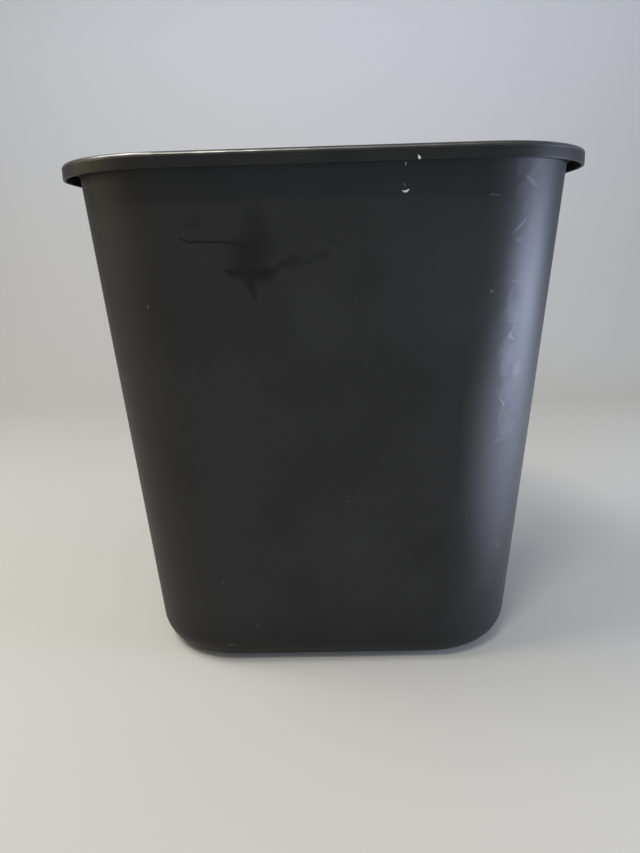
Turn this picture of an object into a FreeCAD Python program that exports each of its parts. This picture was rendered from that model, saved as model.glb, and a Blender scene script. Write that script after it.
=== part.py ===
"""Office wastebasket: an open tapered tub with a rolled rim, injection moulded in polyethylene.

The real basket is one moulding. It is held here as the sections that a mould maker names: the flat
flange and the turned-down skirt of the rim, the four walls and the rounded corners between them, the
rounded edges and corners that turn in under the walls, the ring it stands on, and the raised floor
panel. The sections meet face to face, and together they are the whole moulding. A corner is held as
narrow leaves side by side, each so nearly flat that a convex hull lies close along it.

Units are millimetres. +Z is up, X runs along the long side, -Y is the front, and the origin is on the
ground at the middle of the base.
"""

import FreeCAD
import Part
import math
import os

# Driving dimensions of the moulding
rim_length = 366.0        # over the rim, long way
rim_width = 260.0         # over the rim, short way
height = 381.0            # ground to the top of the rim
wall = 2.2                # side wall and floor thickness
wall_lean = 25.1          # how far each side wall leans in, from the rim's top to the ground
corner_radius = 69.0      # outside plan radius of the wall's upright corners
base_edge_radius = 24.0   # outside radius between the wall and the floor

# The rolled rim
rim_overhang = 10.7       # wall's outside face, carried up to the rim's top, to the skirt's outside face
rim_drop = 9.8            # rim's top to the skirt's lower edge
flange_thickness = 2.6    # the rim's flat top
rim_edge_radius = 2.6     # outside top edge of the rim
skirt_thickness = 2.0     # the turned-down edge
skirt_edge_round = 0.6    # lower edges of the skirt
lip_radius = 2.4          # inside top edge, where waste goes in

# The floor
foot_width = 8.0          # flat ring that the basket stands on
floor_rise = 3.0          # how far the floor panel stands above that ring
step_run = 4.0            # sloping step between the ring and the panel
gate_radius = 7.0         # shallow dimple where the plastic entered the mould
gate_depth = 0.7
gate_nub_radius = 1.6     # trimmed stub left in the dimple
gate_nub_height = 0.5

# Where the sections of the moulding meet: on flat wall or floor, just past the roundings
seam_clear = 1.0
base_seam = base_edge_radius + seam_clear
rim_seam = height - flange_thickness
panel_seam = foot_width + wall + step_run   # in from the edge of the flat underside
leaves_per_corner = 4

OUTSIDE_REACH = 10.0      # how far cutting tools run past what they cut
ACROSS = rim_length + rim_width


def rounded_rectangle(half_x, half_y, radius, z):
    """A closed wire at height z: four straight sides joined by four tangent quarter arcs."""
    inner_x = half_x - radius
    inner_y = half_y - radius
    corners = ((inner_x, inner_y, 0.0), (-inner_x, inner_y, 90.0),
               (-inner_x, -inner_y, 180.0), (inner_x, -inner_y, 270.0))

    def at(corner, turn):
        angle = math.radians(corner[2] + turn)
        return FreeCAD.Vector(corner[0] + radius * math.cos(angle), corner[1] + radius * math.sin(angle), z)

    edges = []
    for corner, following in zip(corners, corners[1:] + corners[:1]):
        edges.append(Part.Arc(at(corner, 0.0), at(corner, 45.0), at(corner, 90.0)).toShape())
        edges.append(Part.LineSegment(at(corner, 90.0), at(following, 0.0)).toShape())
    return Part.Wire(edges)


def prism(half_x, half_y, radius, z_low, z_high):
    """An upright block with a rounded rectangle for its plan."""
    face = Part.Face(rounded_rectangle(half_x, half_y, radius, z_low))
    return face.extrude(FreeCAD.Vector(0, 0, z_high - z_low))


def frustum(low, high, z_low, z_high):
    """A block whose plan changes from low at z_low to high at z_high. Each is half_x, half_y, radius."""
    wires = [rounded_rectangle(*low, z_low), rounded_rectangle(*high, z_high)]
    return Part.makeLoft(wires, True, True)


def wall_plan(z, inset):
    """Half length, half width and corner radius of the wall's outside face at height z, less inset."""
    lean = wall_lean * (1.0 - z / height)
    half_x = rim_length / 2 - rim_overhang - lean - inset
    half_y = rim_width / 2 - rim_overhang - lean - inset
    return half_x, half_y, corner_radius - inset


def rim_plan(inset):
    """Half length, half width and corner radius of the skirt's outside face, less inset."""
    return rim_length / 2 - inset, rim_width / 2 - inset, corner_radius + rim_overhang - inset


def foot_plan(inset):
    """Half length, half width and corner radius of the flat underside, less inset."""
    draft = math.atan2(wall_lean, height)
    blend = base_edge_radius * math.tan((math.pi / 2 - draft) / 2)
    return wall_plan(0.0, blend + inset)


def edges_at(shape, z, inside_of=None):
    """Edges lying at height z, optionally only those nearer than a distance along X and along Y."""
    found = []
    for edge in shape.Edges:
        box = edge.BoundBox
        if abs(box.ZMin - z) > 1e-4 or abs(box.ZMax - z) > 1e-4:
            continue
        reach_x = max(abs(box.XMin), abs(box.XMax))
        reach_y = max(abs(box.YMin), abs(box.YMax))
        if inside_of and (reach_x > inside_of[0] or reach_y > inside_of[1]):
            continue
        found.append(edge)
    return found


def tapered_block(inset, z_low, z_high, edge_radius):
    """The wall's taper as a solid block, with its lower edge rounded."""
    block = frustum(wall_plan(z_low, inset), wall_plan(z_high, inset), z_low, z_high)
    return block.makeFillet(edge_radius, edges_at(block, z_low))


def slab(z_low, z_high):
    """Everything between two heights."""
    return Part.makeBox(ACROSS, ACROSS, z_high - z_low, FreeCAD.Vector(-ACROSS / 2, -ACROSS / 2, z_low))


def straight_zone(along_x):
    """Everything abreast of the straight stretch of a pair of walls, which widens with the taper."""
    z_low, z_high = -OUTSIDE_REACH, height + OUTSIDE_REACH

    def corner(side, z):
        half_x, half_y, radius = wall_plan(z, 0.0)
        if along_x:
            return FreeCAD.Vector(side * (half_x - radius - seam_clear), -ACROSS / 2, z)
        return FreeCAD.Vector(-ACROSS / 2, side * (half_y - radius - seam_clear), z)

    outline = [corner(-1, z_low), corner(1, z_low), corner(1, z_high), corner(-1, z_high)]
    face = Part.Face(Part.makePolygon(outline + outline[:1]))
    return face.extrude(FreeCAD.Vector(0, ACROSS, 0) if along_x else FreeCAD.Vector(ACROSS, 0, 0))


def leaf_zone(side_x, side_y, index):
    """Everything within one leaf of a corner: a wedge about the corner's leaning centre line."""
    z_low, z_high = -OUTSIDE_REACH, height + OUTSIDE_REACH
    turn = 90.0 / leaves_per_corner
    first = index * turn if index > 0 else -turn
    last = (index + 1) * turn if index < leaves_per_corner - 1 else 90.0 + turn

    def centre(z):
        half_x, half_y, radius = wall_plan(z, 0.0)
        return FreeCAD.Vector(side_x * (half_x - radius), side_y * (half_y - radius), z)

    def outward(angle):
        angle = math.radians(angle)
        return FreeCAD.Vector(side_x * math.cos(angle), side_y * math.sin(angle), 0) * ACROSS

    apex = centre(z_low)
    outline = [apex, apex + outward(first), apex + outward(last), apex]
    return Part.Face(Part.makePolygon(outline)).extrude(centre(z_high) - apex)


def cut_leaves(corners):
    """The leaves of four corners, as one compound."""
    leaves = []
    for corner in corners.Solids:
        side_x = math.copysign(1.0, corner.CenterOfMass.x)
        side_y = math.copysign(1.0, corner.CenterOfMass.y)
        for index in range(leaves_per_corner):
            leaves += corner.common(leaf_zone(side_x, side_y, index)).Solids
    return Part.makeCompound(leaves)


def make_rim():
    """Flange and skirt in one: a cap rounded on its outside top edge, hollowed from below."""
    cap = prism(*rim_plan(0.0), height - rim_drop, height)
    cap = cap.makeFillet(rim_edge_radius, edges_at(cap, height))
    hollow = prism(*rim_plan(skirt_thickness), height - rim_drop - OUTSIDE_REACH, rim_seam)
    rim = cap.cut(hollow)
    return rim.makeFillet(skirt_edge_round, edges_at(rim, height - rim_drop))


def make_moulding():
    """Tub and rim in one, with the lip rounded where they meet inside."""
    cavity = tapered_block(wall, wall, height + OUTSIDE_REACH, base_edge_radius - wall)
    tub = tapered_block(0.0, 0.0, height, base_edge_radius)
    moulding = tub.fuse(make_rim()).cut(cavity).removeSplitter()
    mouth = wall_plan(height, 0.0)
    return moulding.makeFillet(lip_radius, edges_at(moulding, height, inside_of=mouth))


def make_foot_ring():
    """The flat ring under the base, with the sloping step that climbs from it to the floor panel."""
    ring = prism(*foot_plan(seam_clear), 0.0, wall)
    ring = ring.fuse(frustum(foot_plan(foot_width), foot_plan(foot_width + step_run), wall, wall + floor_rise))
    pocket = frustum(foot_plan(foot_width + wall), foot_plan(panel_seam), 0.0, floor_rise)
    ring = ring.cut(pocket).cut(prism(*foot_plan(panel_seam), 0.0, wall + floor_rise))
    return ring.removeSplitter()


def make_floor_panel():
    """The raised plate inside the foot ring, with the gate dimple underneath."""
    panel = prism(*foot_plan(panel_seam), floor_rise, floor_rise + wall)
    dimple = Part.makeCylinder(gate_radius, gate_depth, FreeCAD.Vector(0, 0, floor_rise))
    nub = Part.makeCylinder(gate_nub_radius, gate_nub_height,
                            FreeCAD.Vector(0, 0, floor_rise + gate_depth - gate_nub_height))
    return panel.cut(dimple.cut(nub))


def section_wall(tub):
    """The upright part of the tub, as four flat walls and the four corners between them."""
    upright = tub.common(slab(base_seam, rim_seam))
    front_back = upright.common(straight_zone(along_x=True)).Solids
    left_right = upright.common(straight_zone(along_x=False)).Solids
    corners = upright.cut(straight_zone(along_x=True)).cut(straight_zone(along_x=False))
    front, back = sorted(front_back, key=lambda solid: solid.CenterOfMass.y)
    left, right = sorted(left_right, key=lambda solid: solid.CenterOfMass.x)
    return {"front_wall": front, "back_wall": back, "left_wall": left, "right_wall": right,
            "wall_corners": cut_leaves(corners)}


def section_base(tub):
    """The rounded turn from the walls to the foot ring: four straight edges and four corners."""
    inside_turn = prism(*foot_plan(seam_clear), -OUTSIDE_REACH, base_seam)
    turn = tub.common(slab(-OUTSIDE_REACH, base_seam)).cut(inside_turn)
    long_edges = turn.common(straight_zone(along_x=True)).Solids
    short_edges = turn.common(straight_zone(along_x=False)).Solids
    corners = turn.cut(straight_zone(along_x=True)).cut(straight_zone(along_x=False))
    return {"base_edges": Part.makeCompound(long_edges + short_edges), "base_corners": cut_leaves(corners)}


def main():
    moulding = make_moulding()
    under_flange = moulding.common(slab(-OUTSIDE_REACH, rim_seam))
    skirt, tub = sorted(under_flange.Solids, key=lambda solid: solid.Volume)
    sections = {
        "rim_flange": moulding.common(slab(rim_seam, height + OUTSIDE_REACH)),
        "rim_skirt": skirt,
        **section_wall(tub),
        **section_base(tub),
        "foot_ring": make_foot_ring(),
        "floor_panel": make_floor_panel(),
    }
    os.makedirs("parts", exist_ok=True)
    for name, shape in sections.items():
        solids = shape.Solids
        shape = solids[0] if len(solids) == 1 else Part.makeCompound(solids)
        shape.exportStep(f"parts/{name}.step")
        box = shape.optimalBoundingBox()
        print(f"{name}: solids {len(solids)}, valid {shape.isValid()}, {shape.Volume / 1000:.1f} cm3, "
              f"{box.XLength:.2f} x {box.YLength:.2f} x {box.ZLength:.2f} mm")


main()
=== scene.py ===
"""An office wastebasket in charcoal polyethylene: one tapered moulding with a rolled rim.

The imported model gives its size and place. Lengths written with mm are millimetres, and the rest metres.
"""

import math

import bmesh
import bpy
from mathutils import Matrix, Vector


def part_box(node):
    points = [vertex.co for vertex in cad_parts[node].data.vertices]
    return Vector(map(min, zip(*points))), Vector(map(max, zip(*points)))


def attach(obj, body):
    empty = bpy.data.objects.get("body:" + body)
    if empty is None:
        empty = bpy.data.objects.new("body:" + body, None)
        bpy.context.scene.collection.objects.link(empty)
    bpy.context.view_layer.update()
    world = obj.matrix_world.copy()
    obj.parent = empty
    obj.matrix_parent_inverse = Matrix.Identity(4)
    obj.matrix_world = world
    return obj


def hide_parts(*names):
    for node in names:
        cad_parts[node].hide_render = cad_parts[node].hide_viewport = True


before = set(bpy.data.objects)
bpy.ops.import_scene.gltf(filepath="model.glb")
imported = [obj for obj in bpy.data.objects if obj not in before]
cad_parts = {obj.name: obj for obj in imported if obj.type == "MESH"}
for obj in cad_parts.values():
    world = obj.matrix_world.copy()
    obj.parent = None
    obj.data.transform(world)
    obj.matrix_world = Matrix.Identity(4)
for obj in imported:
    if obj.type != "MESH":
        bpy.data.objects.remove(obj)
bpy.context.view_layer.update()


# The studio card: one pale matt sheet that lies flat as the floor and curls up behind the basket.
mm = 0.001
card_half_width = 5.0
card_front = -5.0
card_back = 1.75
card_height = 4.0
card_curl = 0.9
card_curl_steps = 24
card_roughness = 0.95
card_specular = 0.1
floor_colour = (0.635, 0.63, 0.605, 1.0)
backdrop_colour = (0.77, 0.79, 0.85, 1.0)

card_mesh = bmesh.new()
bmesh.ops.create_grid(card_mesh, x_segments=1, y_segments=1, size=1.0)
bmesh.ops.scale(card_mesh, vec=(card_half_width, (card_back - card_front) / 2, 1.0), verts=card_mesh.verts)
bmesh.ops.translate(card_mesh, vec=(0, (card_back + card_front) / 2, 0), verts=card_mesh.verts)
back_edge = max(card_mesh.edges, key=lambda edge: sum(vert.co.y for vert in edge.verts))
risen = bmesh.ops.extrude_edge_only(card_mesh, edges=[back_edge])
risen_verts = [item for item in risen["geom"] if isinstance(item, bmesh.types.BMVert)]
bmesh.ops.translate(card_mesh, vec=(0, 0, card_height), verts=risen_verts)
fold = [edge for edge in card_mesh.edges
        if all(abs(vert.co.y - card_back) < mm and vert.co.z < mm for vert in edge.verts)]
bmesh.ops.bevel(card_mesh, geom=fold, offset=card_curl, offset_type="OFFSET", segments=card_curl_steps,
                profile=0.5, affect="EDGES", material=-1)
bmesh.ops.recalc_face_normals(card_mesh, faces=card_mesh.faces)


def finish_mesh(build, name, *materials):
    """Turns a bmesh into a smooth-shaded object that sits at the origin."""
    mesh = bpy.data.meshes.new(name)
    for face in build.faces:
        face.smooth = True
    build.to_mesh(mesh)
    build.free()
    for material in materials:
        mesh.materials.append(material)
    piece = bpy.data.objects.new(name, mesh)
    bpy.context.scene.collection.objects.link(piece)
    return piece


card_finish = bpy.data.materials.new("matt_card")
card_finish.use_nodes = True
card_shader = card_finish.node_tree.nodes["Principled BSDF"]
card_links = card_finish.node_tree.links
card_place = card_finish.node_tree.nodes.new("ShaderNodeTexCoord")
card_axes = card_finish.node_tree.nodes.new("ShaderNodeSeparateXYZ")
card_shade = card_finish.node_tree.nodes.new("ShaderNodeValToRGB")
card_shade.color_ramp.elements[0].color = floor_colour
card_shade.color_ramp.elements[1].color = backdrop_colour
card_links.new(card_place.outputs["Object"], card_axes.inputs[0])
card_links.new(card_axes.outputs["Z"], card_shade.inputs[0])
card_links.new(card_shade.outputs[0], card_shader.inputs["Base Color"])
card_shader.inputs["Roughness"].default_value = card_roughness
card_shader.inputs["Specular IOR Level"].default_value = card_specular
card = finish_mesh(card_mesh, "studio_card", card_finish)


# The lamps: two in the ceiling in front, the left one far brighter, which draw the bright line along the rim;
# a softbox high on the left; a warm wall low on the left and a dim one in front; and a low, cool window on
# the right, which runs a sheen down the corner. The room itself is dim, though it looks pale.
lamp_aim = Vector((0, 0, 0.2))
room_dim = (0.23, 0.23, 0.235, 1.0)
room_pale = (0.56, 0.57, 0.60, 1.0)


def soft_lamp(name, turn, rise, distance, size, power, colour):
    """A rectangular lamp aimed at the basket. Its turn, which goes from the front to the right, and its rise
    are in degrees."""
    turn, rise = math.radians(turn), math.radians(rise)
    out = Vector((math.sin(turn) * math.cos(rise), -math.cos(turn) * math.cos(rise), math.sin(rise)))
    lamp = bpy.data.lights.new(name, "AREA")
    lamp.shape = "RECTANGLE"
    lamp.size, lamp.size_y = size
    lamp.energy = power
    lamp.color = colour
    holder = bpy.data.objects.new(name, lamp)
    facing = out.to_track_quat("Z", "Y").to_matrix().to_4x4()
    holder.matrix_world = Matrix.Translation(lamp_aim + out * distance) @ facing
    holder.visible_camera = False
    bpy.context.scene.collection.objects.link(holder)


soft_lamp("ceiling_lamp", turn=-19, rise=56, distance=2.4,
          size=(0.5, 0.3), power=15, colour=(1.0, 0.97, 0.84))
soft_lamp("ceiling_lamp_right", turn=14, rise=56, distance=2.4,
          size=(0.7, 0.3), power=2, colour=(1.0, 0.96, 0.88))
soft_lamp("left_softbox", turn=-80, rise=56, distance=1.6,
          size=(0.8, 0.8), power=14, colour=(1.0, 0.98, 0.93))
soft_lamp("left_wall", turn=-78, rise=10, distance=1.8,
          size=(1.7, 0.9), power=5.5, colour=(1.0, 0.86, 0.55))
soft_lamp("front_wall", turn=8, rise=-1, distance=2.6,
          size=(2.6, 0.3), power=4, colour=(0.9, 0.97, 1.0))
soft_lamp("window", turn=78, rise=-1.5, distance=1.3,
          size=(0.74, 0.2), power=18, colour=(0.645, 0.735, 1.0))

room = bpy.data.worlds.new("dim_room")
room.use_nodes = True
room_light = room.node_tree.nodes["Background"]
room_light.inputs["Color"].default_value = room_dim
pale_room = room.node_tree.nodes.new("ShaderNodeBackground")
pale_room.inputs["Color"].default_value = room_pale
seen = room.node_tree.nodes.new("ShaderNodeLightPath")
room_mix = room.node_tree.nodes.new("ShaderNodeMixShader")
room.node_tree.links.new(seen.outputs["Is Camera Ray"], room_mix.inputs[0])
room.node_tree.links.new(room_light.outputs[0], room_mix.inputs[1])
room.node_tree.links.new(pale_room.outputs[0], room_mix.inputs[2])
room.node_tree.links.new(room_mix.outputs[0], room.node_tree.nodes["World Output"].inputs["Surface"])
bpy.context.scene.world = room
bpy.context.scene.view_settings.view_transform = "Standard"


# The camera: stands close in front, a little below the rim's height, and looks down by the pitch.
camera_place = (4.5 * mm, -552.9 * mm, 317.8 * mm)
camera_yaw = 1.263
camera_pitch = -14.791
camera_roll = 1.634
camera_lens = 27.547

view = bpy.data.cameras.new("camera")
view.lens = camera_lens
view.sensor_width = 36.0
view.sensor_fit = "AUTO"
view.clip_start = 0.01
camera = bpy.data.objects.new("camera", view)
camera.matrix_world = (Matrix.Translation(camera_place)
                       @ Matrix.Rotation(math.radians(camera_yaw), 4, "Z")
                       @ Matrix.Rotation(math.radians(camera_pitch), 4, "X")
                       @ Matrix.Rotation(math.radians(camera_roll), 4, "Y")
                       @ Matrix.Rotation(math.radians(90), 4, "X"))
bpy.context.scene.collection.objects.link(camera)
bpy.context.scene.camera = camera


# The basket: one seamless shell of charcoal polyethylene, injected through a gate under the floor. It starts
# at that gate as a small ring of edges, and each extrusion carries the ring on: out under the floor, up the
# walls, over the turned-down rim, down the inside and across the floor.
wall = 2.2 * mm
corner_radius = 69.0 * mm
base_edge_radius = 24.0 * mm
flange_thickness = 2.6 * mm
skirt_thickness = 2.0 * mm
skirt_edge_round = 0.6 * mm
rim_edge_radius = 2.6 * mm
rim_inner_round = 0.8 * mm
lip_radius = 2.4 * mm
foot_width = 8.0 * mm
step_run = 4.0 * mm
gate_radius = 7.0 * mm
gate_depth = 0.7 * mm
gate_nub_radius = 1.6 * mm
gate_nub_height = 0.5 * mm
gate_round = 0.25 * mm
wall_bow = 0.35 * mm
corner_steps = 24
straight_cuts = 15
turn_steps = 14
wall_rows = 22
small_round_steps = 3
rim_round_steps = 8
merge_distance = 0.01 * mm

rim_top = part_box("rim_flange")[1]
skirt_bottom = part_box("rim_skirt")[0][2]
height = rim_top[2]
wall_low, wall_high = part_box("front_wall")[0][2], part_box("front_wall")[1][2]
half_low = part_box("base_edges")[1]
floor_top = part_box("floor_panel")[1][2]
draft = math.atan2(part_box("right_wall")[1][0] - half_low[0], wall_high - wall_low)
lean_angle = math.degrees(draft)


def wall_half(z):
    """Half length and half width of the walls' outside face at a height."""
    lean = (z - wall_low) * math.tan(draft)
    return half_low[0] + lean, half_low[1] + lean


# A ring is half its length, half its width, the radius of its corners, and its height.
def wall_ring(z, inset):
    half_x, half_y = wall_half(z)
    return half_x - inset, half_y - inset, corner_radius - inset, z


def foot_ring(z, inset, corner_grows=0.0):
    """A ring set in from the edge of the flat underside."""
    half_x, half_y = wall_half(0.0)
    inset += foot_inset
    return half_x - inset, half_y - inset, corner_radius - inset + corner_grows, z


def rim_ring(z, inset):
    radius = corner_radius + rim_top[0] - wall_half(height)[0]
    return rim_top[0] - inset, rim_top[1] - inset, radius - inset, z


def circle(radius, z):
    return radius, radius, radius, z


def between(first, last, share):
    return tuple(a + (b - a) * share for a, b in zip(first, last))


def arc(first, last, steps):
    """Angles in radians from first to last, both included, given in degrees."""
    return [math.radians(first + (last - first) * step / steps) for step in range(steps + 1)]


# Under the floor: the trimmed stub, the dimple round it, the flat panel, the step down and the foot. The
# step's shape is given in shares of its run and of its rise.
blend = math.tan(math.radians((90 - lean_angle) / 2))
foot_inset = base_edge_radius * blend
panel_under = floor_top - wall
dimple_roof = panel_under + gate_depth
step_under = foot_width + wall
step_shape = ((-0.25, 0.0), (0.0, 0.03), (0.2, 0.18), (0.8, 0.82), (1.0, 0.97), (1.25, 1.0))
rings = []
for angle in arc(-90, 0, small_round_steps):
    rings.append(circle(gate_nub_radius - gate_round * (1 - math.cos(angle)),
                        dimple_roof - gate_nub_height + gate_round * (1 + math.sin(angle))))
rings.append(circle(gate_nub_radius, dimple_roof))
rings.append(circle(gate_radius, dimple_roof))
for angle in arc(0, 90, small_round_steps):
    rings.append(circle(gate_radius + gate_round * (1 - math.cos(angle)),
                        panel_under + gate_round * (1 - math.sin(angle))))
panel_edge = foot_ring(panel_under, step_under + step_shape[-1][0] * step_run)
gate_edge = rings[-1]
for share in (0.25, 0.5, 0.75):
    rings.append(between(gate_edge, panel_edge, share))
for share, rise in reversed(step_shape):
    rings.append(foot_ring(panel_under * rise, step_under + share * step_run))
underside_rings = len(rings)

# The rounded turn under the walls, and the outside of the walls up to the rim.
foot_corner = corner_radius - foot_inset
for angle in arc(-90, -lean_angle, turn_steps):
    out = base_edge_radius * math.cos(angle)
    opened = (corner_radius - foot_corner) * math.cos(angle) / math.cos(draft)
    rings.append(foot_ring(base_edge_radius * (1 + math.sin(angle)), -out, opened - out))
wall_foot = rings[-1][3]
wall_head = height - flange_thickness - rim_inner_round
for row in range(1, wall_rows + 1):
    rings.append(wall_ring(wall_foot + (wall_head - wall_foot) * row / wall_rows, 0.0))

# The turned-down rim: under the flange, down inside the skirt, round its edge, up its face and over.
flange_under = height - flange_thickness
for angle in arc(180, 90, small_round_steps)[1:]:
    rings.append(wall_ring(flange_under - rim_inner_round * (1 - math.sin(angle)),
                           -rim_inner_round * (1 + math.cos(angle))))
for angle in arc(90, 0, small_round_steps):
    rings.append(rim_ring(flange_under - rim_inner_round * (1 - math.sin(angle)),
                          skirt_thickness + rim_inner_round * (1 - math.cos(angle))))
for angle in arc(180, 270, small_round_steps):
    rings.append(rim_ring(skirt_bottom + skirt_edge_round * (1 + math.sin(angle)),
                          skirt_thickness - skirt_edge_round * (1 + math.cos(angle))))
for angle in arc(270, 360, small_round_steps):
    rings.append(rim_ring(skirt_bottom + skirt_edge_round * (1 + math.sin(angle)),
                          skirt_edge_round * (1 - math.cos(angle))))
for angle in arc(0, 90, rim_round_steps):
    rings.append(rim_ring(height - rim_edge_radius * (1 - math.sin(angle)),
                          rim_edge_radius * (1 - math.cos(angle))))
outside_rings = len(rings)

# The lip, the inside of the walls, the inner turn, the step up and the floor.
lip_foot = height - lip_radius * (1 - math.sin(draft))
lip_plan = wall_ring(lip_foot, wall - lip_radius * math.cos(draft))
for angle in arc(90, 180 - lean_angle, rim_round_steps):
    out = lip_radius * math.cos(angle)
    rings.append((lip_plan[0] + out, lip_plan[1] + out, lip_plan[2] + out,
                  height - lip_radius * (1 - math.sin(angle))))
inner_radius = base_edge_radius - wall
inner_foot = wall + inner_radius * (1 - math.sin(draft))
for row in range(1, wall_rows + 1):
    rings.append(wall_ring(lip_foot + (inner_foot - lip_foot) * row / wall_rows, wall))
inner_inset = wall * (1 - math.tan(draft)) + inner_radius * blend - foot_inset
for angle in arc(-lean_angle, -90, turn_steps)[1:]:
    out = inner_radius * math.cos(angle)
    opened = inner_radius * blend * math.cos(angle) / math.cos(draft)
    rings.append(foot_ring(wall + inner_radius * (1 + math.sin(angle)), inner_inset - out, opened - out))
for share, rise in step_shape:
    rings.append(foot_ring(wall + panel_under * rise, foot_width + share * step_run))
floor_edge = rings[-1]
for share in (0.25, 0.5, 0.75, 0.95):
    rings.append(between(floor_edge, circle(0.0, floor_top), share))

# The first ring is a square with rounded corners, cut so finely that every later ring can take its edges.
# Each vertex keeps its share of the straight runs and its turn round a corner.
square_half = 2.0
square_round = 1.0
straight_half = square_half - square_round
shell = bmesh.new()
bmesh.ops.create_grid(shell, x_segments=1, y_segments=1, size=square_half)
bmesh.ops.bevel(shell, geom=shell.verts[:], offset=square_round, offset_type="OFFSET", segments=corner_steps,
                profile=0.5, affect="VERTICES", material=-1)
straights = [edge for edge in shell.edges if edge.calc_length() > straight_half]
bmesh.ops.subdivide_edges(shell, edges=straights, cuts=straight_cuts)
share_x = shell.verts.layers.float.new("share_x")
share_y = shell.verts.layers.float.new("share_y")
turn_x = shell.verts.layers.float.new("turn_x")
turn_y = shell.verts.layers.float.new("turn_y")
for vert in shell.verts:
    run = Vector([min(max(value, -straight_half), straight_half) for value in vert.co.xy])
    vert[share_x], vert[share_y] = run / straight_half
    vert[turn_x], vert[turn_y] = (vert.co.xy - run).normalized()


def fit_ring(verts, half_x, half_y, radius, z):
    """Moves vertices onto a ring."""
    for vert in verts:
        vert.co.x = vert[share_x] * (half_x - radius) + vert[turn_x] * radius
        vert.co.y = vert[share_y] * (half_y - radius) + vert[turn_y] * radius
        vert.co.z = z


underside_slot, outside_slot, inside_slot = range(3)
fit_ring(shell.verts, *rings[0])
ring_edges = shell.edges[:]
for index, ring in enumerate(rings[1:], start=1):
    grown = bmesh.ops.extrude_edge_only(shell, edges=ring_edges)["geom"]
    ring_verts = {item for item in grown if isinstance(item, bmesh.types.BMVert)}
    ring_edges = [item for item in grown
                  if isinstance(item, bmesh.types.BMEdge) and ring_verts.issuperset(item.verts)]
    slot = underside_slot
    if index > underside_rings:
        slot = outside_slot
    if index > outside_rings:
        slot = inside_slot
    for face in (item for item in grown if isinstance(item, bmesh.types.BMFace)):
        face.material_index = slot
    fit_ring(ring_verts, *ring)
closing = bmesh.ops.edgeloop_fill(shell, edges=ring_edges)["faces"]
for face in closing:
    face.material_index = inside_slot

# The long walls draw in a little at mid height, as moulded walls do when the plastic cools.
for vert in shell.verts:
    rise = (vert.co.z - wall_foot) / (wall_head - wall_foot)
    if 0 < rise < 1:
        draw = wall_bow * math.sin(math.pi * rise) * (1 - vert[share_x] ** 2) * (1 - abs(vert[turn_x]))
        vert.co.y -= math.copysign(draw, vert.co.y)
bmesh.ops.remove_doubles(shell, verts=shell.verts, dist=merge_distance)
bmesh.ops.recalc_face_normals(shell, faces=shell.faces)


def corner_order(item):
    """A number to sort edges and faces by, from the indices of their corners."""
    corners = sorted(vert.index for vert in item.verts)
    return (corners[0] * len(shell.verts) + corners[1]) * len(shell.verts) + corners[-1]


# The extrusions leave their edges and faces in an order that changes from run to run, so it is set here.
shell.verts.index_update()
shell.edges.sort(key=corner_order)
shell.faces.sort(key=corner_order)


# The finish: polyethylene blackened with carbon, spark-eroded outside and smoother inside. Its grain, scuffs,
# stains and dust are node groups, placed in one material for each part of the surface.
def add(tree, kind, feeds, **settings):
    """Adds a node. feeds gives its inputs numbers, colours or the outputs of other nodes."""
    made = tree.nodes.new(kind)
    for name, value in settings.items():
        setattr(made, name, value)
    for socket, value in feeds.items():
        if isinstance(value, bpy.types.NodeSocket):
            tree.links.new(value, made.inputs[socket])
        else:
            made.inputs[socket].default_value = value
    return made


def maths(tree, operation, *values):
    return add(tree, "ShaderNodeMath", dict(enumerate(values)), operation=operation).outputs[0]


def vectors(tree, operation, *values):
    made = add(tree, "ShaderNodeVectorMath", dict(enumerate(values)), operation=operation)
    return made.outputs["Value" if operation in ("DOT_PRODUCT", "LENGTH") else "Vector"]


def climb(tree, value, low, high):
    """Climbs smoothly from 0 at low to 1 at high. High may be the lower number."""
    feeds = {"Value": value, "From Min": low, "From Max": high}
    return add(tree, "ShaderNodeMapRange", feeds, interpolation_type="SMOOTHSTEP").outputs["Result"]


def noise(tree, place, scale, detail=2.0, output="Fac"):
    feeds = {"Vector": place, "Scale": scale, "Detail": detail}
    return add(tree, "ShaderNodeTexNoise", feeds).outputs[output]


def mix_colours(tree, share, under, over):
    return add(tree, "ShaderNodeMix", {0: share, 6: under, 7: over}, data_type="RGBA").outputs[2]


def new_group(name, takes, gives):
    """An empty node group, with the names and kinds of its sockets."""
    group = bpy.data.node_groups.new(name, "ShaderNodeTree")
    for socket, kind in takes.items():
        group.interface.new_socket(socket, in_out="INPUT", socket_type="NodeSocket" + kind)
    for socket, kind in gives.items():
        group.interface.new_socket(socket, in_out="OUTPUT", socket_type="NodeSocket" + kind)
    return group, group.nodes.new("NodeGroupInput").outputs, group.nodes.new("NodeGroupOutput").inputs


def use(tree, group, **feeds):
    """Places a node group. The names of its inputs are given in small letters, with _ for a space."""
    made = tree.nodes.new("ShaderNodeGroup")
    made.node_tree = group
    for name, value in feeds.items():
        socket = made.inputs[name.replace("_", " ").title()]
        if isinstance(value, bpy.types.NodeSocket):
            tree.links.new(value, socket)
        else:
            socket.default_value = value
    return made.outputs


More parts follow.
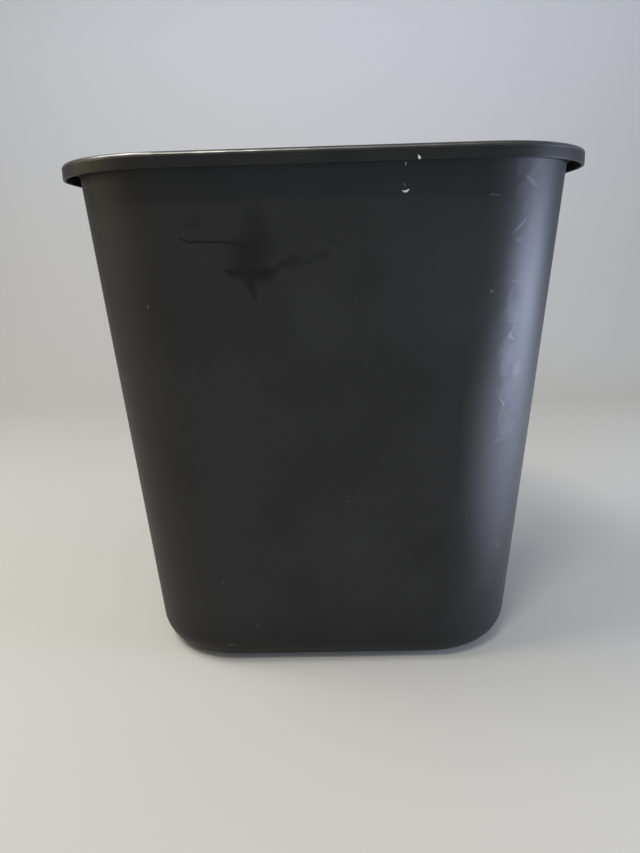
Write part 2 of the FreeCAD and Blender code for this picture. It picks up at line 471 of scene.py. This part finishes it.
# Grain: fine pits left by spark erosion, and a slow mottle where the plastic cooled unevenly. Noise scales
# are in waves to the metre.
mottle_scale = 16.0
grain, takes, gives = new_group("grain", {"Place": "Vector", "Size": "Float"},
                                {"Height": "Float", "Mottle": "Float"})
per_metre = maths(grain, "DIVIDE", 1.0, takes["Size"])
pits = add(grain, "ShaderNodeTexVoronoi", {"Vector": takes["Place"], "Scale": per_metre})
fine = noise(grain, takes["Place"], maths(grain, "MULTIPLY", per_metre, 1.7), detail=3.0)
grain.links.new(maths(grain, "MULTIPLY_ADD", pits.outputs["Distance"], 0.6, fine), gives["Height"])
mottle = noise(grain, takes["Place"], mottle_scale, detail=4.0)
grain.links.new(climb(grain, mottle, 0.3, 0.7), gives["Mottle"])

# Unrolled: the front and its corners laid flat. Spot is the distance round from the middle of the front and
# the height, in mm, shaken a little so that no mark on it is straight. The back lies a metre further on.
shake_scale = 170.0
unrolled, takes, gives = new_group("unrolled", {"Place": "Vector", "Shake": "Float"}, {"Spot": "Vector"})
place = add(unrolled, "ShaderNodeSeparateXYZ", {0: takes["Place"]}).outputs
lean = maths(unrolled, "MULTIPLY", maths(unrolled, "SUBTRACT", place["Z"], wall_low), math.tan(draft))
straight = maths(unrolled, "ADD", lean, half_low[0] - corner_radius)
beside = maths(unrolled, "ABSOLUTE", place["X"])
before = maths(unrolled, "SUBTRACT", maths(unrolled, "MULTIPLY", place["Y"], -1.0),
               maths(unrolled, "ADD", lean, half_low[1] - corner_radius))
angle = maths(unrolled, "ARCTAN2", maths(unrolled, "SUBTRACT", beside, straight), before)
turn = maths(unrolled, "MULTIPLY_ADD", maths(unrolled, "MAXIMUM", angle, 0.0), corner_radius,
             maths(unrolled, "MINIMUM", beside, straight))
turn = maths(unrolled, "MULTIPLY", turn, maths(unrolled, "SIGN", place["X"]))
turn = maths(unrolled, "ADD", turn, maths(unrolled, "GREATER_THAN", place["Y"], 0.0))
flat = add(unrolled, "ShaderNodeCombineXYZ", {0: turn, 1: place["Z"]}).outputs[0]
shake = noise(unrolled, takes["Place"], shake_scale, detail=3.0, output="Color")
shake = vectors(unrolled, "SUBTRACT", shake, (0.5, 0.5, 0.5))
shake = add(unrolled, "ShaderNodeVectorMath", {"Vector": shake, "Scale": takes["Shake"]}, operation="SCALE")
flat = vectors(unrolled, "MULTIPLY", flat, (1 / mm, 1 / mm, 0.0))
unrolled.links.new(vectors(unrolled, "ADD", flat, shake.outputs[0]), gives["Spot"])

# A stroke: a mark from one spot to another, with round ends, as wide at each end as it is told.
stroke, takes, gives = new_group("stroke", {"Spot": "Vector", "Start": "Vector", "End": "Vector",
                                            "Start Half": "Float", "End Half": "Float"}, {"Mask": "Float"})
run = vectors(stroke, "SUBTRACT", takes["End"], takes["Start"])
length = vectors(stroke, "LENGTH", run)
ahead = vectors(stroke, "NORMALIZE", run)
across = vectors(stroke, "CROSS_PRODUCT", ahead, (0.0, 0.0, 1.0))
gone = maths(stroke, "SUBTRACT", vectors(stroke, "DOT_PRODUCT", takes["Spot"], ahead),
             vectors(stroke, "DOT_PRODUCT", takes["Start"], ahead))
aside = maths(stroke, "SUBTRACT", vectors(stroke, "DOT_PRODUCT", takes["Spot"], across),
              vectors(stroke, "DOT_PRODUCT", takes["Start"], across))
within = maths(stroke, "MINIMUM", maths(stroke, "MAXIMUM", gone, 0.0), length)
beyond = maths(stroke, "SUBTRACT", gone, within)
off_squared = maths(stroke, "MULTIPLY_ADD", beyond, beyond, maths(stroke, "MULTIPLY", aside, aside))
off = maths(stroke, "SQRT", off_squared)
widening = maths(stroke, "DIVIDE", maths(stroke, "SUBTRACT", takes["End Half"], takes["Start Half"]), length)
half = maths(stroke, "MULTIPLY_ADD", within, widening, takes["Start Half"])
stroke.links.new(climb(stroke, maths(stroke, "DIVIDE", off, half), 2.0, 0.2), gives["Mask"])

# A smudge: a soft patch with a ragged edge. Reach is its half length and half height.
smudge, takes, gives = new_group("smudge", {"Spot": "Vector", "Centre": "Vector", "Reach": "Vector",
                                            "Ragged": "Float"}, {"Mask": "Float"})
spread = vectors(smudge, "SUBTRACT", takes["Spot"], takes["Centre"])
spread = vectors(smudge, "DIVIDE", spread, takes["Reach"])
edge = maths(smudge, "ADD", vectors(smudge, "LENGTH", spread), takes["Ragged"])
smudge.links.new(climb(smudge, edge, 1.2, 0.2), gives["Mask"])

# Scratches: many fine lines in patches. Along stretches them, and Share says how many there are.
patch_scale = 45.0
scratches, takes, gives = new_group("scratches", {"Place": "Vector", "Along": "Vector", "Share": "Float"},
                                    {"Mask": "Float"})
lines = noise(scratches, vectors(scratches, "MULTIPLY", takes["Place"], takes["Along"]), 1.0, detail=3.0)
level = maths(scratches, "MULTIPLY_ADD", takes["Share"], -0.3, 0.72)
lines = climb(scratches, lines, level, maths(scratches, "ADD", level, 0.07))
patches = climb(scratches, noise(scratches, takes["Place"], patch_scale), 0.42, 0.62)
scratches.links.new(maths(scratches, "MULTIPLY", lines, patches), gives["Mask"])

# Specks: scattered dots of lint and grit, in some of the cells of a net.
specks, takes, gives = new_group("specks", {"Place": "Vector", "Spacing": "Float", "Size": "Float",
                                            "Share": "Float"}, {"Mask": "Float"})
cells = add(specks, "ShaderNodeTexVoronoi",
            {"Vector": takes["Place"], "Scale": maths(specks, "DIVIDE", 1.0, takes["Spacing"])})
draws = add(specks, "ShaderNodeSeparateColor", {"Color": cells.outputs["Color"]}).outputs
radius = maths(specks, "MULTIPLY", takes["Size"], maths(specks, "MULTIPLY_ADD", draws["Green"], 0.35, 0.15))
radius = maths(specks, "DIVIDE", radius, takes["Spacing"])
dots = climb(specks, maths(specks, "DIVIDE", cells.outputs["Distance"], radius), 1.3, 0.5)
chosen = maths(specks, "LESS_THAN", draws["Red"], takes["Share"])
specks.links.new(maths(specks, "MULTIPLY", dots, chosen), gives["Mask"])

# Dust: settles on what faces up, in clumps.
clump_scale = 320.0
dust, takes, gives = new_group("dust", {"Place": "Vector", "Amount": "Float"}, {"Mask": "Float"})
facing = add(dust, "ShaderNodeNewGeometry", {}).outputs["Normal"]
up = add(dust, "ShaderNodeSeparateXYZ", {0: facing}).outputs["Z"]
settled = maths(dust, "MULTIPLY", climb(dust, up, 0.3, 0.95), takes["Amount"])
clumps = climb(dust, noise(dust, takes["Place"], clump_scale, detail=4.0), 0.25, 0.8)
dust.links.new(maths(dust, "MULTIPLY", settled, clumps), gives["Mask"])

# The colours of the plastic and of what has rubbed it, soaked into it or settled on it. The black also paints
# shade near the floor and on the rim, the pale also paints the window's sheen down the right corner, and the
# white paints the highlights of drops of water.
charcoal = (0.0198, 0.0201, 0.0209, 1.0)
charcoal_dark = (0.0155, 0.0158, 0.0165, 1.0)
stain_and_shade_black = (0.0020, 0.0020, 0.0018, 1.0)
pale_scuff_and_sheen = (0.30, 0.305, 0.345, 1.0)
grit = (0.34, 0.33, 0.30, 1.0)
house_dust = (0.20, 0.185, 0.16, 1.0)
drop_highlight_white = (0.85, 0.85, 0.84, 1.0)
drop_height = 0.4 * mm
grain_size = 0.55 * mm
grain_depth = 0.02 * mm


def start_finish(name, size=grain_size, specular=0.24):
    """A material with its shader, the place of each point, its grain, and the plain colour of the plastic."""
    material = bpy.data.materials.new(name)
    material.use_nodes = True
    tree = material.node_tree
    shader = tree.nodes["Principled BSDF"]
    shader.inputs["Specular IOR Level"].default_value = specular
    place = add(tree, "ShaderNodeTexCoord", {}).outputs["Object"]
    texture = use(tree, grain, place=place, size=size)
    colour = mix_colours(tree, texture["Mottle"], charcoal_dark, charcoal)
    return material, tree, shader, place, texture, colour


def feed_shader(tree, shader, colour, roughness, height, depth=grain_depth, drop_highlights=None):
    """Feeds the shader. Depth is the relief of the grain, and the drops mask marks raised drops of water,
    painted white where their highlights fall.
    """
    if drop_highlights:
        colour = mix_colours(tree, drop_highlights, colour, drop_highlight_white)
        roughness = maths(tree, "MULTIPLY_ADD", drop_highlights, -0.3, roughness)
        height = maths(tree, "MULTIPLY_ADD", drop_highlights, drop_height / depth, height)
    relief = add(tree, "ShaderNodeBump", {"Height": height, "Distance": depth, "Strength": 1.0})
    tree.links.new(colour, shader.inputs["Base Color"])
    tree.links.new(roughness, shader.inputs["Roughness"])
    tree.links.new(relief.outputs["Normal"], shader.inputs["Normal"])


def draw_strokes(tree, spot, marks):
    """The strongest of a list of marks. Each is its strength, then its corners, in mm: distance round, height
    and half width."""
    total = 0.0
    for strength, *corners in marks:
        for (from_turn, from_z, from_half), (to_turn, to_z, to_half) in zip(corners, corners[1:]):
            mask = use(tree, stroke, spot=spot, start=(from_turn, from_z, 0.0), end=(to_turn, to_z, 0.0),
                       start_half=from_half, end_half=to_half)["Mask"]
            total = maths(tree, "MAXIMUM", total, maths(tree, "MULTIPLY", mask, strength))
    return total


def draw_smudges(tree, spot, ragged, marks):
    """The strongest of a list of smudges. Each is its strength, its centre, its half length and its half
    height."""
    total = 0.0
    for strength, turn, z, half_length, half_height in marks:
        mask = use(tree, smudge, spot=spot, centre=(turn, z, 0.0), reach=(half_length, half_height, 1.0),
                   ragged=ragged)["Mask"]
        total = maths(tree, "MAXIMUM", total, maths(tree, "MULTIPLY", mask, strength))
    return total


# The walls: how rough they are, how ragged a smudge's edge is, how finely a scuff breaks up, how far up from
# the floor they are worn, and how far up from the floor painted shade darkens them.
wall_roughness = 0.475
polish_roughness = 0.45
ragged_scale = 150.0
ragged_depth = 1.6
breaks_scale = 1400.0
foot_shade_top = 60 * mm
foot_shade_full = 10 * mm
foot_shade_strength = 0.3
foot_wear_top = 14 * mm
foot_wear_full = 1 * mm


def wall_finish(name, shake=2.4, pale_rub_and_sheen=(), polish=(), pale_strokes=(), pale_smudges=(),
                dark_strokes=(), dark_smudges=(), drop_highlights=()):
    """The spark-eroded outside of a wall, with its own scuffs and stains. Haze is a pale patch, partly where
    rubbing has left it paler and partly a painted sheen of the window's light; polish is where rubbing left
    it glossier."""
    material, tree, shader, place, texture, colour = start_finish(name)
    z = add(tree, "ShaderNodeSeparateXYZ", {0: place}).outputs["Z"]
    spot = use(tree, unrolled, place=place, shake=shake)["Spot"]
    ragged = noise(tree, place, ragged_scale, detail=3.0)
    ragged = maths(tree, "MULTIPLY_ADD", ragged, ragged_depth, -ragged_depth / 2)
    breaks = climb(tree, noise(tree, place, breaks_scale), 0.20, 0.60)
    pale = maths(tree, "MULTIPLY", draw_strokes(tree, spot, pale_strokes), breaks)
    pale = maths(tree, "MAXIMUM", pale, draw_smudges(tree, spot, ragged, pale_smudges))
    # The haze adds a painted sheen, in the pale colour, on top of the scuffs.
    pale = maths(tree, "ADD", pale, draw_smudges(tree, spot, 0.0, pale_rub_and_sheen))
    dark = draw_strokes(tree, spot, dark_strokes)
    dark = maths(tree, "MAXIMUM", dark, draw_smudges(tree, spot, ragged, dark_smudges))
    near_foot = climb(tree, z, foot_wear_top, foot_wear_full)
    # Painted shade: darker towards the floor, where the rounded foot faces down into its own shadow.
    foot_shade = maths(tree, "MULTIPLY", climb(tree, z, foot_shade_top, foot_shade_full), foot_shade_strength)
    foot_lines = use(tree, scratches, place=place, along=(60.0, 60.0, 900.0), share=0.4)["Mask"]
    wall_lines = use(tree, scratches, place=place, along=(900.0, 900.0, 25.0), share=0.05)["Mask"]
    worn = maths(tree, "MULTIPLY", foot_lines, maths(tree, "MULTIPLY", near_foot, 0.2))
    worn = maths(tree, "MAXIMUM", worn, maths(tree, "MULTIPLY", wall_lines, 0.05))
    lint = use(tree, specks, place=place, spacing=24 * mm, size=1.2 * mm, share=0.16)["Mask"]
    # Dark stains, and the painted shade near the floor, take the colour towards black.
    colour = mix_colours(tree, maths(tree, "MAXIMUM", dark, foot_shade), colour, stain_and_shade_black)
    colour = mix_colours(tree, maths(tree, "MAXIMUM", pale, worn), colour, pale_scuff_and_sheen)
    colour = mix_colours(tree, maths(tree, "MULTIPLY", lint, 0.3), colour, grit)
    roughness = maths(tree, "MULTIPLY_ADD", texture["Mottle"], 0.05, wall_roughness)
    roughness = maths(tree, "MULTIPLY_ADD", pale, 0.15, roughness)
    drop_highlight_mask = draw_strokes(tree, spot, drop_highlights) if drop_highlights else None
    if polish:
        tree.links.new(draw_smudges(tree, spot, 0.0, polish), shader.inputs["Coat Weight"])
        shader.inputs["Coat Roughness"].default_value = polish_roughness
    feed_shader(tree, shader, colour, roughness, texture["Height"], drop_highlights=drop_highlight_mask)
    return material


# The marks on the walls, each with its strength first and its places in mm on the unrolled front.
plain_wall = wall_finish("satin_charcoal_wall")
stained_front = wall_finish(
    "satin_charcoal_stained",
    # The haze is a faint pale patch, painted as a broad sheen from the window on the right.
    pale_rub_and_sheen=((0.012, 85, 285, 45, 60),),
    pale_strokes=(
        (0.3, (-119, 286.2, 0.7), (-119, 287, 0.5)),
        (0.3, (-83.5, 75.5, 0.5), (-83.3, 76.5, 0.4)),
        (0.25, (-84, 18, 0.5), (-78, 18.5, 0.3)),
        (0.3, (-30, 14, 0.6), (-29, 14, 0.5)),
        (0.2, (14, 142, 0.5), (15, 141.5, 0.4)),
        (0.25, (-60, 37, 0.4), (-59, 36, 0.4)),
    ),
    pale_smudges=(
        (0.012, -60, 200, 40, 60),
        (0.010, 30, 110, 45, 50),
    ),
    dark_strokes=(
        (0.95, (-93.5, 330.5, 0.4), (-86, 327.5, 0.7), (-63, 327, 0.6), (-57.5, 325.5, 0.7),
         (-50, 325.5, 0.9)),
        (0.85, (-64, 309, 0.8), (-58.5, 307.5, 2.8), (-52, 307, 3.2)),
        (0.90, (-52, 307, 3.2), (-44, 306.5, 4.2), (-37.5, 306.5, 4.6)),
        (0.70, (-37.5, 306.5, 4.6), (-31, 308.5, 1.6)),
        (0.80, (-48.5, 304, 4.4), (-47.2, 298, 2.6)),
        (0.62, (-47.2, 298, 2.6), (-45.6, 290.5, 1.0)),
        (0.72, (-52, 312, 7), (-49, 321, 9)),
        (0.66, (-45, 316, 8), (-43.5, 324, 10)),
        (0.40, (-45, 331, 9), (-43, 341, 6)),
        (0.62, (-30, 311, 1.2), (-25, 312.5, 2.2), (-20, 313, 1.6)),
        (0.45, (-20, 313.5, 3.2), (-15, 313.5, 2.4), (-8, 313, 1.0)),
    ),
    dark_smudges=(
        (0.60, -18.5, 314.5, 5, 4.5),
        (0.35, -1, 317.5, 6, 4),
        (0.40, 4.3, 325.6, 4, 4),
        (0.30, -85, 340, 10, 7),
    ),
    # The drops: a water drop on the wall with its bright lower crescent as a painted highlight, the painted
    # glint above it, and a drop hanging under the rim's skirt.
    drop_highlights=(
        (1.00, (51.0, 354.9, 0.25), (52.2, 354.4, 0.5), (53.5, 354.5, 0.55), (54.8, 355.3, 0.2)),
        (0.15, (52.2, 358.5, 0.4), (52.4, 357.5, 0.3)),
        (0.22, (52.6, 371.0, 0.5), (52.7, 370.2, 0.5)),
    ),
)
scuffed_and_sheen_corner = wall_finish(
    "satin_charcoal_scuffed_sheen",
    shake=0.6,
    # The haze is a pale patch painted as the window's sheen down the corner, over plastic that rubbing has
    # paled.
    pale_rub_and_sheen=(
        (0.16, 127, 178, 30, 108),
        (0.012, 85, 285, 45, 60),
    ),
    polish=((0.64, 150, 180, 52, 165),),
    pale_strokes=(
        (0.30, (130.5, 362, 0.5), (133, 360.8, 0.8), (136.5, 358.5, 1.0), (138.5, 356.5, 0.5)),
        (0.09, (141, 372, 2.8), (136, 364, 2.0), (133, 360, 1.4)),
        (0.06, (133, 360, 1.6), (127, 354, 2.2), (125.5, 350, 1.2)),
        (0.14, (136, 357.5, 0.6), (142, 357, 0.5)),
        (0.24, (106.5, 351.2, 0.3), (112, 350.8, 0.3)),
        (0.06, (124.5, 364, 1.8), (127, 372, 1.8)),
        (0.49, (133.0, 336.5, 0.3), (128.5, 332, 0.55), (125.5, 329, 0.3)),
        (0.09, (125.5, 329, 0.6), (124.8, 326, 0.8)),
        (0.07, (131.5, 345, 1.2), (131, 340, 0.9)),
        (0.25, (125, 297.3, 0.3), (130.5, 296.5, 0.6), (137, 296, 0.3)),
        (0.15, (126, 293.5, 0.6), (125.5, 289.5, 0.9), (124.2, 285.5, 1.4)),
        (0.39, (110.3, 291.5, 0.5), (110.8, 290.5, 0.4)),
        (0.21, (123.5, 270.2, 0.5), (131, 270.5, 0.7)),
        (0.21, (130.5, 268, 0.8), (130, 265, 1.0), (128, 262, 1.1)),
        (0.70, (127.8, 261.8, 0.9), (127.4, 260, 1.2)),
        (0.42, (127.5, 260.5, 0.9), (130.8, 257.5, 0.5)),
        (0.18, (127.5, 260.5, 0.9), (124.3, 258, 0.5)),
        (0.07, (124, 257, 1.6), (120.5, 251.5, 2.2), (120, 246, 1.4)),
        (0.45, (122.5, 216, 0.3), (124.7, 213.6, 0.5), (126.8, 210.8, 0.8)),
        (0.21, (126.8, 210.5, 0.8), (124.2, 209.3, 0.5)),
        (0.11, (125.8, 208, 1.3), (123.5, 200, 1.4)),
        (0.08, (129.5, 203, 1.8), (131.5, 192, 1.8)),
        (0.10, (121, 184, 1.0), (128, 186, 1.6), (134, 188.5, 1.8), (137.5, 195, 1.6)),
        (0.21, (129, 101, 0.4), (131.5, 100, 0.5)),
        (0.32, (134, 97, 0.5), (133, 95, 0.7)),
        (0.17, (137.5, 98, 0.4), (136, 94.5, 0.5)),
        (0.06, (110, 69.5, 0.3), (118, 69, 0.7), (127, 68, 0.3)),
        (0.06, (107, 64.5, 0.3), (114, 65, 0.4)),
        (0.06, (108.5, 53.5, 0.3), (117, 54, 0.5)),
    ),
    pale_smudges=(
        (0.18, 129, 323, 5, 2.0),
        (0.05, 138, 331, 4, 5),
        (0.20, 126, 245, 7, 15),
        (0.16, 136, 235, 6, 6),
        (0.12, 128, 276, 8, 10),
        (0.10, 128, 221, 8, 12),
        (0.09, 130, 193, 8, 9),
        (0.05, 130, 310, 12, 25),
        (0.012, 120, 66, 16, 9),
    ),
    dark_strokes=(
        (0.7, (122, 214.5, 0.5), (125, 210.5, 0.8)),
        (0.6, (121.5, 223, 0.7), (123, 222, 0.6)),
        (0.5, (132.5, 238.5, 0.9), (134, 237, 0.6)),
    ),
)

# The rim is buffed by hands and by bags pulled over it, hardest along its rounded top edge, and it carries
# fine scratches along its run. In places the shine of that edge is dulled.
rim_specular = 0.28
rim_roughness = 0.40
gloss_low = height - 3.5 * mm
gloss_full = height - 1.5 * mm
gloss_ior = 2.6
gloss_roughness = 0.3
dulled_scale = 42.0
rim, tree, shader, place, texture, colour = start_finish("satin_charcoal_rim", specular=rim_specular)
rubs = use(tree, scratches, place=place, along=(35.0, 35.0, 1500.0), share=0.35)["Mask"]
nicks = use(tree, specks, place=place, spacing=17 * mm, size=2.2 * mm, share=0.3)["Mask"]
film = use(tree, dust, place=place, amount=0.12)["Mask"]
# Painted shade: the whole rim is darkened, for the dim room that its face reflects.
colour = mix_colours(tree, 0.4, colour, stain_and_shade_black)
colour = mix_colours(tree, maths(tree, "MULTIPLY", film, 0.5), colour, house_dust)
colour = mix_colours(tree, maths(tree, "MULTIPLY", rubs, 0.06), colour, pale_scuff_and_sheen)
colour = mix_colours(tree, maths(tree, "MULTIPLY", nicks, 0.15), colour, pale_scuff_and_sheen)
z = add(tree, "ShaderNodeSeparateXYZ", {0: place}).outputs["Z"]
buffed_edge = climb(tree, z, gloss_low, gloss_full)
roughness = maths(tree, "MULTIPLY_ADD", texture["Mottle"], 0.06, rim_roughness)
dulled = climb(tree, noise(tree, place, dulled_scale), 0.42, 0.62)
shine = maths(tree, "MULTIPLY", buffed_edge, maths(tree, "MULTIPLY_ADD", dulled, -0.5, 1.0))
tree.links.new(shine, shader.inputs["Coat Weight"])
shader.inputs["Coat IOR"].default_value = gloss_ior
shader.inputs["Coat Roughness"].default_value = gloss_roughness
roughness = maths(tree, "MULTIPLY_ADD", maths(tree, "MAXIMUM", rubs, nicks), 0.3, roughness)
height_of_rim = maths(tree, "MULTIPLY_ADD", nicks, -1.5, texture["Height"])
spot = use(tree, unrolled, place=place, shake=0.4)["Spot"]
# A drop of water on the rim's face, its highlight painted white.
rim_drop_highlights = draw_strokes(tree, spot, ((1.00, (59.2, 373.8, 0.2), (59.8, 372.4, 0.65)),))
feed_shader(tree, shader, colour, roughness, height_of_rim, grain_depth * 0.6, drop_highlights=rim_drop_highlights)

# The inside was formed on a smoother core, and stacked baskets and bags have dragged marks down it.
inside_roughness = 0.38
inside, tree, shader, place, texture, colour = start_finish("satin_charcoal_inside", grain_size * 0.7)
drags = use(tree, scratches, place=place, along=(650.0, 650.0, 9.0), share=0.35)["Mask"]
film = use(tree, dust, place=place, amount=0.4)["Mask"]
lint = use(tree, specks, place=place, spacing=14 * mm, size=1.6 * mm, share=0.3)["Mask"]
colour = mix_colours(tree, film, colour, house_dust)
colour = mix_colours(tree, maths(tree, "MULTIPLY", drags, 0.12), colour, pale_scuff_and_sheen)
colour = mix_colours(tree, maths(tree, "MULTIPLY", lint, 0.35), colour, grit)
roughness = maths(tree, "MULTIPLY_ADD", texture["Mottle"], 0.06, inside_roughness)
roughness = maths(tree, "MULTIPLY_ADD", film, 0.4, roughness)
feed_shader(tree, shader, colour, roughness, texture["Height"], grain_depth * 0.5)

# The underside is plain, and its foot is ground pale by every floor it has slid on.
underside_roughness = 0.52
underside, tree, shader, place, texture, colour = start_finish("satin_charcoal_underside")
z = add(tree, "ShaderNodeSeparateXYZ", {0: place}).outputs["Z"]
on_foot = climb(tree, z, 0.8 * mm, 0.1 * mm)
slid_x = use(tree, scratches, place=place, along=(70.0, 1400.0, 0.0), share=0.7)["Mask"]
slid_y = use(tree, scratches, place=place, along=(1300.0, 90.0, 0.0), share=0.6)["Mask"]
ground_in = maths(tree, "MULTIPLY", maths(tree, "MAXIMUM", slid_x, slid_y), on_foot)
lint = use(tree, specks, place=place, spacing=16 * mm, size=1.5 * mm, share=0.25)["Mask"]
colour = mix_colours(tree, maths(tree, "MULTIPLY", on_foot, 0.12), colour, pale_scuff_and_sheen)
colour = mix_colours(tree, maths(tree, "MULTIPLY", ground_in, 0.5), colour, pale_scuff_and_sheen)
colour = mix_colours(tree, maths(tree, "MULTIPLY", lint, 0.3), colour, grit)
roughness = maths(tree, "MULTIPLY_ADD", on_foot, -0.08, underside_roughness)
roughness = maths(tree, "MULTIPLY_ADD", ground_in, 0.25, roughness)
height_of_foot = maths(tree, "MULTIPLY_ADD", ground_in, -0.9, texture["Height"])
feed_shader(tree, shader, colour, roughness, height_of_foot)

# Each face takes the finish of the part of the surface that it is on. The first three are in the order of the
# slots above, and the last three take their faces from the outside: the rim, the front, and its right corner.
finishes = (underside, plain_wall, inside, rim, stained_front, scuffed_and_sheen_corner)
rim_low = skirt_bottom - 0.1 * mm
corner_left = 80 * mm
corner_back = -20 * mm
front_left = -150 * mm
front_back = -60 * mm
for face in shell.faces:
    if face.material_index != outside_slot:
        continue
    x, y, z = face.calc_center_median()
    if z > rim_low:
        face.material_index = finishes.index(rim)
    elif x > corner_left and y < corner_back:
        face.material_index = finishes.index(scuffed_and_sheen_corner)
    elif front_left < x <= corner_left and y < front_back:
        face.material_index = finishes.index(stained_front)
basket = finish_mesh(shell, "basket_moulding", *finishes)
basket.modifiers.new("even_shading", "WEIGHTED_NORMAL").keep_sharp = True
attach(basket, "root")
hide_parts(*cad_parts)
